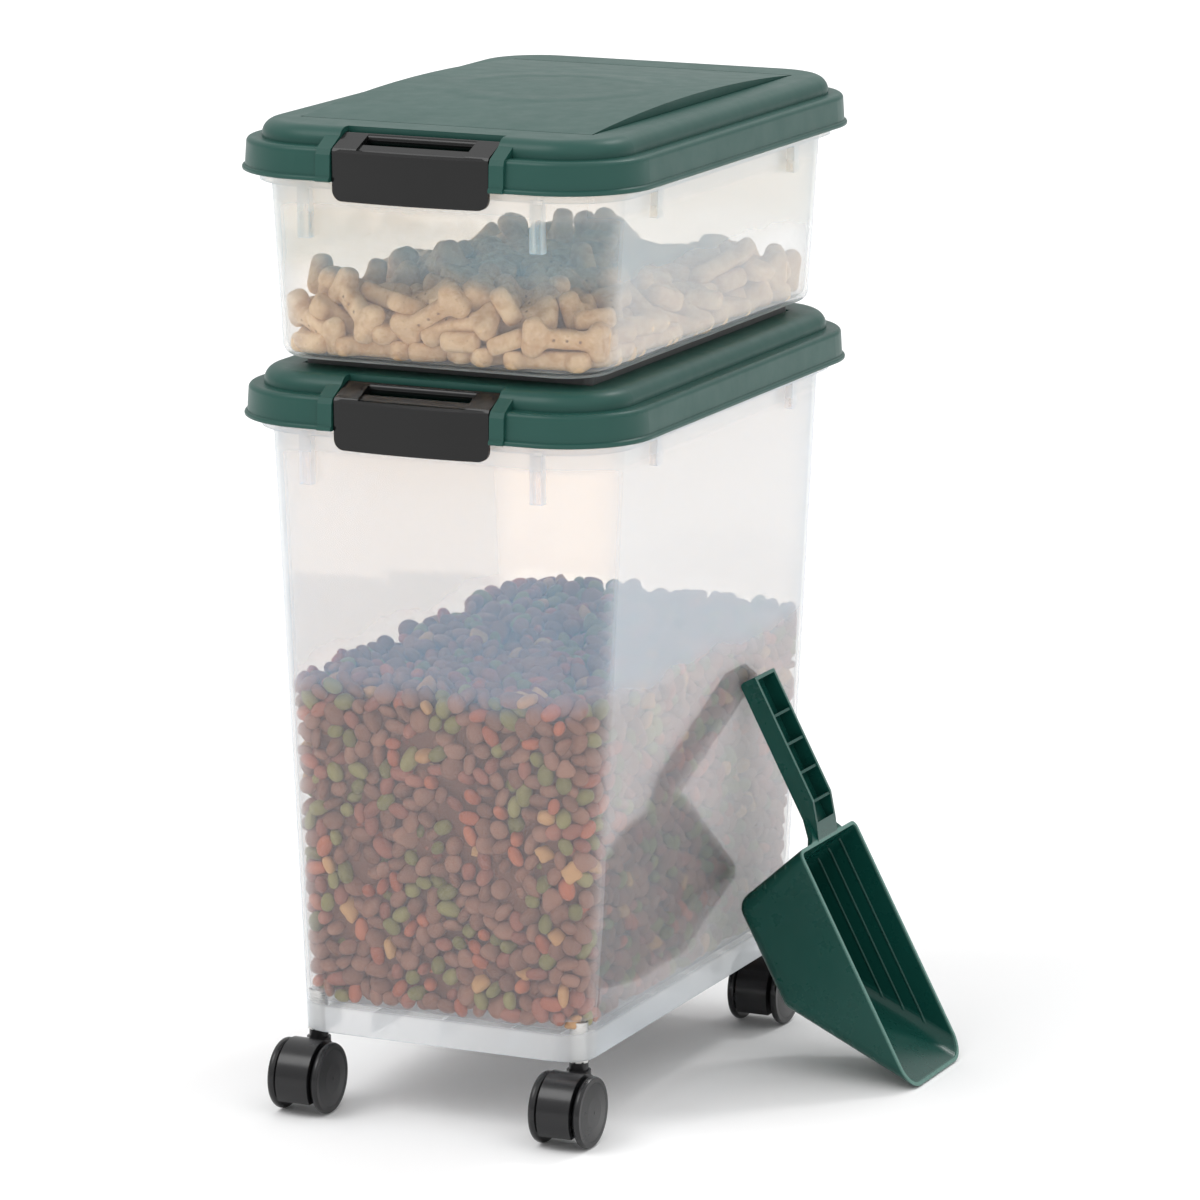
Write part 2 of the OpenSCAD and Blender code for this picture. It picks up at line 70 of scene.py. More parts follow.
class Material:
    """A node material that is built up one node at a time."""

    def __init__(self, name):
        self.material = bpy.data.materials.new(name)
        self.material.use_nodes = True
        self.tree = self.material.node_tree
        self.tree.nodes.clear()
        self.output = self.tree.nodes.new("ShaderNodeOutputMaterial")

    def node(self, kind, links=None, **settings):
        """A new node. Settings name its properties, and links gives its inputs a value or another socket."""
        made = self.tree.nodes.new("ShaderNode" + kind)
        for key, value in settings.items():
            setattr(made, key, value)
        for key, value in (links or {}).items():
            if isinstance(value, bpy.types.NodeSocket):
                self.tree.links.new(value, made.inputs[key])
            else:
                made.inputs[key].default_value = value
        return made

    def place(self):
        """The point's place in metres, in the frame at rest."""
        return self.node("TexCoord").outputs["Object"]

    def noise(self, size, detail=3.0, roughness=0.5, at=None):
        """Noise from 0 to 1 with blobs of about this size in metres."""
        links = {"Vector": at or self.place(), "Scale": 1 / size, "Detail": detail, "Roughness": roughness}
        return self.node("TexNoise", links).outputs["Fac"]

    def remap(self, value, low, high, to_low, to_high, smooth=False):
        """value from low..high carried to to_low..to_high, and held there outside."""
        links = {"Value": value, "From Min": low, "From Max": high, "To Min": to_low, "To Max": to_high}
        kind = "SMOOTHSTEP" if smooth else "LINEAR"
        return self.node("MapRange", links, interpolation_type=kind).outputs["Result"]

    def math(self, operation, first, second=0.0, third=0.0):
        """The result of one arithmetic operation."""
        return self.node("Math", {0: first, 1: second, 2: third}, operation=operation).outputs[0]

    def blend(self, share, first, second, how="MIX"):
        """Colour first with this share of colour second laid over it."""
        made = self.node("Mix", data_type="RGBA", blend_type=how)
        for key, value in ((0, share), (6, first), (7, second)):
            if isinstance(value, bpy.types.NodeSocket):
                self.tree.links.new(value, made.inputs[key])
            else:
                made.inputs[key].default_value = value
        return made.outputs[2]

    def bump(self, height, depth, under=None):
        """A normal from a height from 0 to 1, depth metres deep."""
        links = {"Height": height, "Distance": depth, "Strength": 1.0}
        if under is not None:
            links["Normal"] = under
        return self.node("Bump", links).outputs["Normal"]

    def milk(self, colour):
        """Light scattered evenly to both sides of a wall."""
        front = self.node("BsdfDiffuse", {"Color": colour}).outputs[0]
        back = self.node("BsdfTranslucent", {"Color": colour}).outputs[0]
        return self.node("MixShader", {0: 0.5, 1: front, 2: back}).outputs[0]

    def own(self, attribute, output="Vector"):
        """What each point of a loose piece carries under this name."""
        return self.node("Attribute", attribute_name=attribute, attribute_type="GEOMETRY").outputs[output]

    def finish(self, shader):
        """The material with this shader on its surface."""
        self.tree.links.new(shader, self.output.inputs["Surface"])
        return self.material


def rgb(red, green, blue):
    """An opaque colour, linear."""
    return (red, green, blue, 1.0)


def moulded(name, dark, light, rough, ior=1.4, ripple=None, lines_and_highlights=None):
    """Injection-moulded plastic: faint flow clouds, a fine spark-eroded grain and uneven gloss.
    ripple is the middle of a round sink mark, and the last argument, if given, adds moulded lines and painted
    highlights of its own."""
    m = Material(name)
    cloud = m.noise(70 * MM, detail=3)
    colour = m.blend(m.remap(cloud, 0.3, 0.7, 0, 1), dark, light)
    rub = m.noise(15 * MM, detail=4, roughness=0.6)
    roughness = m.remap(rub, 0.3, 0.7, rough - 0.03, rough + 0.04)
    normal = m.bump(m.noise(0.35 * MM, detail=2), 0.008 * MM)
    normal = m.bump(m.noise(40 * MM, detail=1), 0.02 * MM, normal)
    if ripple:
        centre = m.node("VectorMath", {0: m.place(), 1: ripple}, operation="DISTANCE").outputs["Value"]
        ring = m.remap(m.math("ABSOLUTE", m.math("SUBTRACT", centre, 60 * MM)), 0, 16 * MM, 1, 0, smooth=True)
        normal = m.bump(ring, 0.9 * MM, normal)
    if lines_and_highlights:
        colour, normal = lines_and_highlights(m, colour, normal)
    links = {"Base Color": colour, "Roughness": roughness, "Normal": normal, "IOR": ior}
    return m.finish(m.node("BsdfPrincipled", links).outputs[0])


def scoop_lines_and_highlights(m, colour, normal):
    """A painted highlight round the edge of the scoop's mouth and on the rib edges of its handle, and level
    lines inside the bowl, which are bumped and faintly painted paler as a highlight.
    depth is how far a point is out of the mouth's plane, and reach is how far it is up the scoop."""
    low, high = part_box("scoop")
    across, along, up = m.node("SeparateXYZ", {"Vector": m.place()}).outputs[:3]
    across = m.math("SUBTRACT", across, high.x)
    up = m.math("SUBTRACT", up, low.z + 0.5 * MM)
    cosine, sine = math.cos(SCOOP_LEAN), math.sin(SCOOP_LEAN)
    depth = m.math("ADD", m.math("MULTIPLY", across, cosine), m.math("MULTIPLY", up, sine))
    reach = m.math("SUBTRACT", m.math("MULTIPLY", up, cosine), m.math("MULTIPLY", across, sine))
    # Painted highlight: a pale band at the edge of the mouth, and then the handle's rib edges further out.
    edge_highlight = m.remap(depth, -1.6 * MM, -0.4 * MM, 0, 0.7)
    edge_highlight = m.math("MULTIPLY", edge_highlight, m.remap(depth, 0.2 * MM, 0.6 * MM, 1, 0))
    edge_highlight = m.math("MULTIPLY", edge_highlight, m.remap(reach, BOWL_LENGTH, BOWL_LENGTH + 1 * MM, 1, 0))
    edge_highlight = m.math("MAXIMUM", edge_highlight, m.remap(depth, 8.2 * MM, 8.5 * MM, 0, 0.3))
    side = m.math("ABSOLUTE", m.math("SUBTRACT", along, (low.y + high.y) / 2))
    side = m.math("ADD", side, m.math("MULTIPLY", depth, -0.027))
    half = (high.y - low.y) / 2
    inside = m.remap(side, half - 1.4 * MM, half - 1.0 * MM, 1, 0)
    wall = m.remap(side, half - 4 * MM, half - 3 * MM, 0, 1)
    deep = m.remap(depth, -9 * MM, -8 * MM, 1, 0)
    deep = m.math("MULTIPLY", deep, m.remap(depth, -39 * MM, -38 * MM, 0, 1))
    # The level lines are moulded ridges made with a bump, with a faint painted highlight on them as well.
    line = m.remap(m.math("PINGPONG", depth, 5 * MM), 3.9 * MM, 4.8 * MM, 0, 1, smooth=True)
    line = m.math("MULTIPLY", m.math("MULTIPLY", line, deep), m.math("MULTIPLY", inside, wall))
    # The painted highlights blend the colour towards a pale green.
    colour = m.blend(m.math("MAXIMUM", edge_highlight, m.math("MULTIPLY", line, 0.2)), colour, rgb(0.15, 0.29, 0.25))
    return colour, m.bump(line, 0.5 * MM, normal)


def clear_plastic(name, floor_level, fill_level, rim_level, haze):
    """Natural polypropylene. It scatters blue and lets warm light through. Far things look hazier than what
    rests against the wall, so the haze is thin between the floor and the level of the contents. It is
    thickest below the floor, and thicker at the rim, where the walls are doubled. haze is the light that the
    upper walls scatter."""
    m = Material(name)
    place = m.place()
    height = m.node("SeparateXYZ", {"Vector": place}).outputs["Z"]
    cloud = m.remap(m.noise(60 * MM, detail=3, at=place), 0.3, 0.7, -6 * MM, 6 * MM)
    air = m.remap(m.math("ADD", height, cloud), fill_level - 16 * MM, fill_level + 9 * MM, 0, 1, smooth=True)
    below = m.remap(height, floor_level - 3 * MM, floor_level + 1 * MM, 1, 0, smooth=True)
    above = m.remap(height, rim_level - 4 * MM, rim_level + 2 * MM, 0, 0.35, smooth=True)
    doubled = m.math("MAXIMUM", below, above)
    through = m.blend(air, rgb(0.950, 0.940, 0.925), rgb(0.885, 0.820, 0.755))
    through = m.blend(doubled, through, rgb(0.52, 0.52, 0.52))
    scatter = m.blend(air, rgb(0.048, 0.048, 0.056), haze)
    scatter = m.blend(doubled, scatter, rgb(0.44, 0.445, 0.45))
    clear = m.node("BsdfTransparent", {"Color": through}).outputs[0]
    body = m.node("AddShader", {0: clear, 1: m.milk(scatter)}).outputs[0]
    normal = m.bump(m.noise(35 * MM, detail=2, at=place), 0.10 * MM)
    normal = m.bump(m.noise(1.2 * MM, detail=2, at=place), 0.003 * MM, normal)
    facing = m.node("LayerWeight", {"Blend": 0.5, "Normal": normal}).outputs["Facing"]
    # A slanting look goes through more plastic, so it meets more haze.
    slant = m.math("MULTIPLY", m.math("POWER", facing, 2.0), 0.58)
    body = m.node("MixShader", {0: slant, 1: body, 2: m.milk(rgb(0.76, 0.87, 0.96))}).outputs[0]
    mirror = m.math("MULTIPLY_ADD", m.math("POWER", facing, 3.0), 0.48, 0.035)
    rough = m.remap(m.noise(9 * MM, detail=4, at=place), 0.3, 0.7, 0.05, 0.10)
    gloss = m.node("BsdfAnisotropic", {"Color": rgb(1, 1, 1), "Roughness": rough, "Normal": normal})
    return m.finish(m.node("MixShader", {0: mirror, 1: body, 2: gloss.outputs[0]}).outputs[0])


def machined(name, colour, rough):
    """Bright zinc-plated steel with fine turning lines round its axis."""
    m = Material(name)
    place = m.place()
    stretched = m.node("Mapping", {"Vector": place, "Scale": (0.15, 0.15, 3.0)}).outputs[0]
    lines = m.noise(0.6 * MM, detail=3, at=stretched)
    tone = m.blend(m.remap(m.noise(6 * MM, at=place), 0.3, 0.7, 0, 0.35), colour, rgb(0.34, 0.34, 0.33))
    roughness = m.remap(lines, 0.3, 0.7, rough - 0.07, rough + 0.10)
    links = {"Base Color": tone, "Metallic": 1.0, "Roughness": roughness, "Normal": m.bump(lines, 0.01 * MM)}
    return m.finish(m.node("BsdfPrincipled", links).outputs[0])


def soft_rubber(name):
    """Black seal rubber with a little dust on it."""
    m = Material(name)
    colour = m.blend(m.noise(8 * MM, detail=4), rgb(0.05, 0.05, 0.05), rgb(0.10, 0.10, 0.098))
    dust = m.remap(m.noise(2 * MM, detail=5), 0.55, 0.75, 0, 0.4)
    colour = m.blend(dust, colour, rgb(0.17, 0.165, 0.155))
    links = {"Base Color": colour, "Roughness": 0.75, "Normal": m.bump(m.noise(0.5 * MM), 0.02 * MM)}
    return m.finish(m.node("BsdfPrincipled", links).outputs[0])


def baked_crumb(name, dark, middle, light, speck):
    """Dry baked pet food. Each piece has its own tone, kept on its points, and crumbs and specks on top."""
    m = Material(name)
    tone = m.own("tone", "Fac")
    own = m.own("own_place")
    colour = m.blend(m.remap(tone, 0, 0.5, 0, 1), dark, middle)
    colour = m.blend(m.remap(tone, 0.5, 1, 0, 1), colour, light)
    grain = m.noise(1.1 * MM, detail=5, roughness=0.65, at=own)
    colour = m.blend(m.remap(grain, 0.25, 0.75, 0, 0.5), colour, m.blend(0.55, colour, dark))
    dots = m.remap(m.noise(0.9 * MM, detail=1, at=own), 0.64, 0.72, 0, 0.55)
    colour = m.blend(dots, colour, speck)
    links = {"Base Color": colour, "Roughness": m.remap(grain, 0.2, 0.8, 0.55, 0.85),
             "Normal": m.bump(grain, 0.22 * MM), "IOR": 1.45}
    return m.finish(m.node("BsdfPrincipled", links).outputs[0])


# ---------------------------------------------------------------- the rooms that the contents lie in

kibble_low, kibble_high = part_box("kibble")
MIDDLE = np.array([(kibble_low.x + kibble_high.x) / 2, (kibble_low.y + kibble_high.y) / 2])
# Where the rounding of the corners is centred, from the middle
CORNER_AXIS = np.array([80.0, 151.0]) * MM


class Room:
    """The tapered, round-cornered space that a fill solid stands for, up to its level top."""

    def __init__(self, node):
        low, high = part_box(node)
        points = np.array([v.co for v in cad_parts[node].data.vertices])
        self.floor, self.level = low.z, high.z
        reach = points[:, 0] - MIDDLE[0] - CORNER_AXIS[0]
        self.top_radius = reach[points[:, 2] > high.z - 0.1 * MM].max()
        # The slope is taken above the rounding at the floor, if there are points between it and the top.
        tall = points[:, 2] > low.z + 0.2 * (high.z - low.z)
        lowest = points[tall, 2].min()
        if lowest >= high.z - 5 * MM:
            lowest = low.z
        near = np.abs(points[:, 2] - lowest) < 0.1 * MM
        self.slope = (self.top_radius - reach[near].max()) / (high.z - lowest)

    def walls(self, points):
        """How far each point is inside the wall, and the way out to it."""
        rel = points[:, :2] - MIDDLE
        out = np.maximum(np.abs(rel) - CORNER_AXIS, 0)
        length = np.linalg.norm(out, axis=1)
        radius = self.top_radius - self.slope * (self.level - points[:, 2])
        past = np.abs(rel) - CORNER_AXIS
        inner = past.max(axis=1)
        gap = np.where(length > 0, radius - length, radius - inner)
        straight = np.eye(2)[past.argmax(axis=1)]
        away = np.where(length[:, None] > 0, out / np.maximum(length, 1e-9)[:, None], straight)
        return gap, np.hstack([away * np.sign(rel), np.zeros((len(points), 1))])


def near_pairs(points, reach):
    """Pairs of points closer than reach, found through a grid of cells."""
    cell = np.floor(points / reach).astype(np.int64)
    cell -= cell.min(0) - 1
    size = cell.max(0) + 2
    key = (cell[:, 0] * size[1] + cell[:, 1]) * size[2] + cell[:, 2]
    order = np.argsort(key, kind="stable")
    ranked = key[order]
    firsts, seconds = [], []
    # A point's own cell and half of the cells round it, so that no pair comes twice
    same = (0, 0, 0)
    for step in (s for s in itertools.product((-1, 0, 1), repeat=3) if s >= same):
        wanted = key + (step[0] * size[1] + step[1]) * size[2] + step[2]
        start = np.searchsorted(ranked, wanted, "left")
        count = np.searchsorted(ranked, wanted, "right") - start
        i = np.repeat(np.arange(len(points)), count)
        offset = np.arange(count.sum()) - np.repeat(np.cumsum(count) - count, count)
        j = order[np.repeat(start, count) + offset]
        keep = i < j if step == same else np.ones(len(i), bool)
        firsts.append(i[keep])
        seconds.append(j[keep])
    i, j = np.concatenate(firsts), np.concatenate(seconds)
    close = ((points[i] - points[j]) ** 2).sum(1) < reach * reach
    return i[close], j[close]


def push_apart(points, i, j, distance, share):
    """Moves the pairs that are closer than distance apart by this share of what is missing."""
    gap = points[i] - points[j]
    length = np.maximum(np.linalg.norm(gap, axis=1), 1e-7)
    move = gap * (np.maximum(distance - length, 0) / length * share / 2)[:, None]
    count = len(points)
    for axis in range(3):
        points[:, axis] += np.bincount(i, move[:, axis], count) - np.bincount(j, move[:, axis], count)


def random_turns(random, count):
    """Rotation matrices spread evenly over every way that a thing can lie."""
    q = random.normal(size=(count, 4))
    w, x, y, z = (q / np.linalg.norm(q, axis=1)[:, None]).T
    rows = [1 - 2 * (y * y + z * z), 2 * (x * y - z * w), 2 * (x * z + y * w),
            2 * (x * y + z * w), 1 - 2 * (x * x + z * z), 2 * (y * z - x * w),
            2 * (x * z - y * w), 2 * (y * z + x * w), 1 - 2 * (x * x + y * y)]
    return np.stack(rows, axis=1).reshape(count, 3, 3)


def joined_copies(name, shape, faces, places, turns, scales, tones, material, body, node):
    """One piece that holds a copy of shape at each place. Each point carries its copy's tone, a place in the
    noise that differs from copy to copy, and where it is on the shape."""
    count, corners = len(places), len(shape)
    points = np.einsum("nij,nkj->nki", turns, shape[None] * scales[:, None, :]) + places[:, None]
    all_faces = (faces[None] + (np.arange(count) * corners)[:, None, None]).reshape(-1, faces.shape[1])
    mesh = bpy.data.meshes.new(name)
    mesh.vertices.add(count * corners)
    mesh.vertices.foreach_set("co", points.astype(np.float32).ravel())
    mesh.loops.add(all_faces.size)
    mesh.loops.foreach_set("vertex_index", all_faces.astype(np.int32).ravel())
    mesh.polygons.add(len(all_faces))
    mesh.polygons.foreach_set("loop_start", np.arange(0, all_faces.size, faces.shape[1], dtype=np.int32))
    mesh.update(calc_edges=True)
    mesh.polygons.foreach_set("use_smooth", np.ones(len(all_faces), bool))
    mesh.attributes.new("tone", "FLOAT", "POINT").data.foreach_set(
        "value", np.repeat(tones, corners).astype(np.float32))
    own = (shape[None] * scales[:, None, :] + (np.arange(count) * 0.037)[:, None, None]).astype(np.float32)
    mesh.attributes.new("own_place", "FLOAT_VECTOR", "POINT").data.foreach_set("vector", own.ravel())
    mesh.attributes.new("on_shape", "FLOAT_VECTOR", "POINT").data.foreach_set(
        "vector", np.tile(shape.astype(np.float32), (count, 1)).ravel())
    mesh.validate()
    piece = bpy.data.objects.new(name, mesh)
    bpy.context.scene.collection.objects.link(piece)
    mesh.materials.append(material)
    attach(piece, body)
    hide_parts(node)
    return piece


def cube_ball(cuts):
    """A ball of radius 1 from a cube whose sides are cut into cuts by cuts squares."""
    index, points, faces = {}, [], []

    def corner(where):
        if where not in index:
            index[where] = len(points)
            spread = np.tan(np.array(where) * math.pi / 4)
            points.append(spread / np.linalg.norm(spread))
        return index[where]

    ticks = [round(-1 + 2 * k / cuts, 6) for k in range(cuts + 1)]
    for axis in range(3):
        for side in (-1.0, 1.0):
            for a in range(cuts):
                for b in range(cuts):
                    ring = []
                    for da, db in ((0, 0), (1, 0), (1, 1), (0, 1)):
                        where = [0.0, 0.0, 0.0]
                        where[axis] = side
                        where[(axis + 1) % 3] = ticks[a + da]
                        where[(axis + 2) % 3] = ticks[b + db]
                        ring.append(corner(tuple(where)))
                    faces.append(ring if side > 0 else ring[::-1])
    return np.array(points), np.array(faces)


# ---------------------------------------------------------------- kibble

KIBBLE_SEED = 7
KIBBLE_ROUNDS = 70
# Half the spacing between neighbouring pieces, and the share of the layer's volume that they fill
KIBBLE_SPACING = 5.5 * MM
KIBBLE_FILL = 0.64
# How deep the layer of loose pieces goes, how far in the core starts, and from where pieces are cut coarser
KIBBLE_DEPTH = 17 * MM
CORE_INSET = 9.5 * MM
FINE_DEPTH = 10.5 * MM
# The most triangles in one joined piece
MOST_TRIANGLES = 180_000
# Kinds of piece: share of the mix, half length, half width and half thickness in mm, lobes, lobes' depth
KIBBLE_KINDS = {
    "brown_round": (0.40, 6.6, 6.0, 3.9, 2, 0.04),
    "brown_triangle": (0.16, 6.9, 6.4, 3.7, 3, 0.13),
    "maroon_oval": (0.13, 6.8, 4.7, 3.9, 2, 0.03),
    "green_oval": (0.18, 6.6, 4.6, 4.0, 2, 0.03),
    "orange_oval": (0.09, 6.3, 4.3, 3.7, 2, 0.03),
    "tan_star": (0.024, 6.2, 6.2, 3.3, 4, 0.17),
    "tan_square": (0.016, 5.6, 5.2, 3.7, 4, -0.08),
}
# Each colour's dark, middle and light tone, and its specks
KIBBLE_TONES = {
    "brown": ((0.185, 0.078, 0.046), (0.265, 0.118, 0.073), (0.335, 0.165, 0.108), (0.42, 0.27, 0.19)),
    "maroon": ((0.235, 0.078, 0.048), (0.31, 0.105, 0.068), (0.37, 0.14, 0.09), (0.44, 0.23, 0.17)),
    "green": ((0.145, 0.133, 0.036), (0.215, 0.195, 0.055), (0.29, 0.26, 0.088), (0.42, 0.39, 0.19)),
    "orange": ((0.33, 0.085, 0.040), (0.43, 0.120, 0.055), (0.50, 0.165, 0.08), (0.60, 0.31, 0.18)),
    "tan": ((0.44, 0.23, 0.09), (0.53, 0.295, 0.12), (0.60, 0.36, 0.16), (0.30, 0.15, 0.07)),
}


def kibble_shape(kind, cuts, variant):
    """One piece of kibble: a flattened ball with lobes, slightly uneven like extruded dough."""
    _, long, wide, thick, lobes, deep = KIBBLE_KINDS[kind]
    points, faces = cube_ball(cuts)
    angle = np.arctan2(points[:, 1], points[:, 0])
    swell = 1 + deep * np.cos(lobes * angle) * (1 - points[:, 2] ** 2)
    dents = np.sin(3.1 * points[:, 0] + 1.7 * variant) * np.cos(2.3 * points[:, 1] + 2.9 * variant)
    uneven = 1 + 0.05 * dents
    flat = np.sign(points[:, 2]) * np.abs(points[:, 2]) ** 0.8
    shaped = np.stack([points[:, 0] * swell * uneven, points[:, 1] * swell * uneven, flat * uneven], axis=1)
    return shaped * np.array([long, wide, thick]) * MM, faces


def heap(points, level):
    """The height of the kibble's uneven top over each point."""
    x, y = points[:, 0] / MM, points[:, 1] / MM
    wave = np.sin(x / 23 + 0.6) * np.cos(y / 31) + 0.6 * np.sin(y / 17 + x / 29)
    return level - 5 * MM + 3 * MM * wave


def depth_inside(room, points):
    """How deep each point is in the fill, from the nearest of walls, floor and top."""
    gap, _ = room.walls(points)
    return np.minimum(np.minimum(gap, points[:, 2] - room.floor), heap(points, room.level) - points[:, 2])


def settle_kibble(room):
    """Where the visible pieces lie: a shell along walls, floor and top, spread until none crowds another."""
    random = np.random.default_rng(KIBBLE_SEED)
    size = np.append(2 * (CORNER_AXIS + room.top_radius), room.level - room.floor)
    drawn = 90000
    tries = random.random((drawn, 3)) * size - np.append(size[:2] / 2, 0) + np.append(MIDDLE, room.floor)
    depth = depth_inside(room, tries)
    tries = tries[(depth > 0) & (depth < KIBBLE_DEPTH)]
    volume = len(tries) / drawn * size.prod()
    count = int(KIBBLE_FILL * volume / (4 / 3 * math.pi * KIBBLE_SPACING ** 3))
    points = tries[:count].copy()
    close = KIBBLE_SPACING * 0.8
    for _ in range(KIBBLE_ROUNDS):
        i, j = near_pairs(points, 2 * KIBBLE_SPACING)
        push_apart(points, i, j, 2 * KIBBLE_SPACING, 0.45)
        gap, out = room.walls(points)
        points -= out * np.maximum(close - gap, 0)[:, None]
        points[:, 2] = np.clip(points[:, 2], room.floor + close, heap(points, room.level))
        up = heap(points, room.level) - points[:, 2]
        down = points[:, 2] - room.floor
        gap, out = room.walls(points)
        # What has sunk below the layer goes back towards the nearest side.
        deep = np.minimum(np.minimum(gap, down), up) - KIBBLE_DEPTH
        sunk = deep > 0
        to_wall = sunk & (gap <= np.minimum(up, down))
        to_top = sunk & ~to_wall & (up <= down)
        to_floor = sunk & ~to_wall & ~to_top
        points[to_wall] += (out * deep[:, None])[to_wall]
        points[to_top, 2] += deep[to_top]
        points[to_floor, 2] -= deep[to_floor]
    return points


def kibble_core(room, material):
    """The plain heart of the fill, inside the loose pieces, so that no daylight shows between them."""
    rings, steps = [], 12
    top = room.level - CORE_INSET - 6 * MM
    for z in (room.floor + CORE_INSET, (room.floor + room.level) / 2, top):
        radius = room.top_radius - room.slope * (room.level - z) - CORE_INSET
        for corner, (sx, sy) in enumerate(((1, 1), (-1, 1), (-1, -1), (1, -1))):
            for k in range(steps + 1):
                angle = (corner + k / steps) * math.pi / 2
                rings.append((MIDDLE[0] + sx * CORNER_AXIS[0] + radius * math.cos(angle),
                              MIDDLE[1] + sy * CORNER_AXIS[1] + radius * math.sin(angle), z))
    around = 4 * (steps + 1)
    faces = [tuple(range(around))[::-1], tuple(range(2 * around, 3 * around))]
    for level in (0, around):
        for k in range(around):
            following = (k + 1) % around
            faces.append((level + k, level + following, level + around + following, level + around + k))
    mesh = bpy.data.meshes.new("kibble_core")
    mesh.from_pydata(rings, [], faces)
    mesh.materials.append(material)
    piece = bpy.data.objects.new("kibble_core", mesh)
    bpy.context.scene.collection.objects.link(piece)
    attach(piece, "bin")
    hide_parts("kibble")


def rest_at_walls(room, places, turns, half):
    """Moves the outermost pieces against the walls and keeps all of them inside."""
    clear = 0.3 * MM
    gap, out = room.walls(places)
    reach = np.linalg.norm(np.einsum("nji,nj->ni", turns, out) * half, axis=1)
    outer = gap < 1.8 * KIBBLE_SPACING
    shift = np.where(outer, reach + clear - gap, np.maximum(reach + clear - gap, 0))
    places -= out * shift[:, None]
    low = np.linalg.norm(turns[:, 2, :] * half, axis=1)
    places[:, 2] = np.maximum(places[:, 2], room.floor + low + clear)


def pour_kibble():
    """Fills the tub with loose kibble, in pieces by kind."""
    room = Room("kibble")
    materials = {name: baked_crumb("kibble_" + name, *(rgb(*tone) for tone in tones))
                 for name, tones in KIBBLE_TONES.items()}
    kibble_core(room, materials["brown"])
    places = settle_kibble(room)
    random = np.random.default_rng(KIBBLE_SEED + 1)
    turns = random_turns(random, len(places))
    kinds = list(KIBBLE_KINDS)
    drawn = random.choice(len(kinds), len(places), p=[KIBBLE_KINDS[k][0] for k in kinds])
    tones = random.random(len(places))
    scales = 1.07 + 0.12 * random.normal(size=(len(places), 1)).clip(-1.6, 1.6)
    scales = scales + 0.05 * random.normal(size=(len(places), 3))
    # The dents in the shape swell it by up to this much.
    swell = 1.04
    half = np.array([KIBBLE_KINDS[k][1:4] for k in kinds])[drawn] * MM * scales * swell
    rest_at_walls(room, places, turns, half)
    depth = depth_inside(room, places)
    shown = depth < FINE_DEPTH
    for number, kind in enumerate(kinds):
        for cuts, layer, where in ((4, shown, "outer"), (2, ~shown, "inner")):
            chosen = np.flatnonzero((drawn == number) & layer)
            shape, faces = kibble_shape(kind, cuts, number)
            portion = MOST_TRIANGLES // (2 * len(faces))
            for part, start in enumerate(range(0, len(chosen), portion)):
                some = chosen[start:start + portion]
                joined_copies(f"kibble_{kind}_{where}_{part + 1}", shape, faces, places[some], turns[some],
                              scales[some], tones[some], materials[kind.split("_")[0]],
                              "bin", "kibble")


# ---------------------------------------------------------------- biscuits

BISCUIT_SEED = 11
BISCUIT_COUNT = 212
BISCUIT_ROUNDS = 260
# Half the distance between the lobes' centres, along and across, and the radii of lobes and shaft
BONE_ALONG, BONE_ACROSS = 20.0 * MM, 6.2 * MM
LOBE, SHAFT = 6.9 * MM, 6.4 * MM
BONE_BALLS = np.array([[sx * BONE_ALONG, sy * BONE_ACROSS, 0] for sx in (-1, 1) for sy in (-1, 1)]
                      + [[x, 0, 0] for x in (-9.5 * MM, 0, 9.5 * MM)])


def settle_biscuits(room):
    """Drops the bones into the box. Each is seven balls that keep their shape and sink until they rest."""
    random = np.random.default_rng(BISCUIT_SEED)
    count = BISCUIT_COUNT
    spread = 2 * (CORNER_AXIS + room.top_radius - 16 * MM)
    centres = np.empty((count, 3))
    centres[:, :2] = (random.random((count, 2)) - 0.5) * spread + MIDDLE
    centres[:, 2] = room.floor + 10 * MM + 115 * MM * (np.arange(count) + random.random(count)) / count
    turns = random_turns(random, count)
    # Turns that are squashed downwards and made rigid again lie flatter.
    squashed = np.array([1.0, 1.0, 0.22])
    u, _, v = np.linalg.svd(turns * squashed[None, :, None])
    turns = u @ v
    turns *= np.sign(np.linalg.det(turns))[:, None, None]
    balls = centres[:, None] + np.einsum("nij,kj->nki", turns, BONE_BALLS)
    owner = np.repeat(np.arange(count), len(BONE_BALLS))
    rounds = BISCUIT_ROUNDS
    for turn in range(rounds):
        flat = balls.reshape(-1, 3)
        flat[:, 2] -= 0.9 * MM * (1 - turn / rounds) + 0.1 * MM
        for _ in range(2):
            i, j = near_pairs(flat, 2 * SHAFT)
            other = owner[i] != owner[j]
            push_apart(flat, i[other], j[other], 2 * SHAFT, 0.5)
            gap, out = room.walls(flat)
            flat -= out * np.maximum(LOBE + 0.5 * MM - gap, 0)[:, None]
            flat[:, 2] = np.maximum(flat[:, 2], room.floor + SHAFT)
        # Each bone's balls are put back into its shape, turned the way that fits them best.
        balls = flat.reshape(count, -1, 3)
        centres = balls.mean(axis=1)
        lean = np.einsum("nki,kj->nij", balls - centres[:, None], BONE_BALLS)
        lean += 1e-9 * np.eye(3)
        u, _, v = np.linalg.svd(lean)
        u[:, :, 2] *= np.sign(np.linalg.det(u @ v))[:, None]
        turns = u @ v
        balls = centres[:, None] + np.einsum("nij,kj->nki", turns, BONE_BALLS)
    return centres, turns


